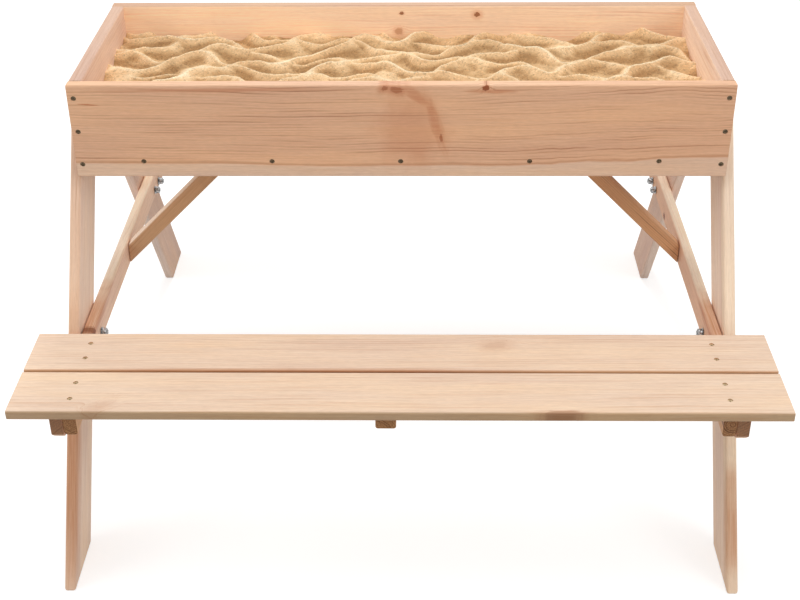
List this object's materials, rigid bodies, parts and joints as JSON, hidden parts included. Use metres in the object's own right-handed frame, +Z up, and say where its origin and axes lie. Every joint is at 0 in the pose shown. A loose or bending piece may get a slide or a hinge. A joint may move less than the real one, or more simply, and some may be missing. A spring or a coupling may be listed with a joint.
{
  "type": "picnic table with sandbox",
  "caption": "Low wooden picnic table for children: an open tray of sand on two pairs of splayed legs, with a plank bench along each long side.",
  "frame": {"origin": "on the ground under the middle of the tray", "axes": "+X along the benches to the right as seen from the front bench, +Y from the front bench to the rear bench, +Z up"},
  "size_m": [0.9, 0.86, 0.559],
  "materials": {
    "spruce": "satin",
    "spruce_pale": "satin",
    "spruce_warm": "satin",
    "plywood": "matte",
    "sand": "matte",
    "zinc_steel": "satin"
  },
  "bodies": {
    "root": {"front_panel": "spruce", "back_panel": "spruce", "left_end_panel": "spruce", "right_end_panel": "spruce", "tray_floor": "plywood", "floor_batten_1": "spruce_warm", "floor_batten_2": "spruce_warm", "floor_batten_3": "spruce_warm", "floor_batten_4": "spruce_warm", "floor_batten_5": "spruce_warm", "sand_fill": "sand", "front_left_leg": "spruce", "front_right_leg": "spruce", "rear_left_leg": "spruce", "rear_right_leg": "spruce", "left_seat_beam": "spruce", "right_seat_beam": "spruce", "left_brace": "spruce_warm", "right_brace": "spruce_warm", "front_bench_outer_plank": "spruce_pale", "front_bench_inner_plank": "spruce_pale", "front_left_cleat": "spruce_warm", "front_right_cleat": "spruce_warm", "front_bench_batten": "spruce_warm", "rear_bench_outer_plank": "spruce_pale", "rear_bench_inner_plank": "spruce_pale", "rear_left_cleat": "spruce_warm", "rear_right_cleat": "spruce_warm", "rear_bench_batten": "spruce_warm", "front_panel_screws": "zinc_steel", "back_panel_screws": "zinc_steel", "floor_screws": "zinc_steel", "front_bench_screws": "zinc_steel", "rear_bench_screws": "zinc_steel", "bench_batten_screws": "zinc_steel", "cleat_screws": "zinc_steel", "brace_screws": "zinc_steel", "beam_bolts": "zinc_steel", "beam_washers": "zinc_steel", "beam_nuts": "zinc_steel", "tray_bolts": "zinc_steel", "tray_washers": "zinc_steel", "tray_nuts": "zinc_steel"}
  },
  "joints": []
}
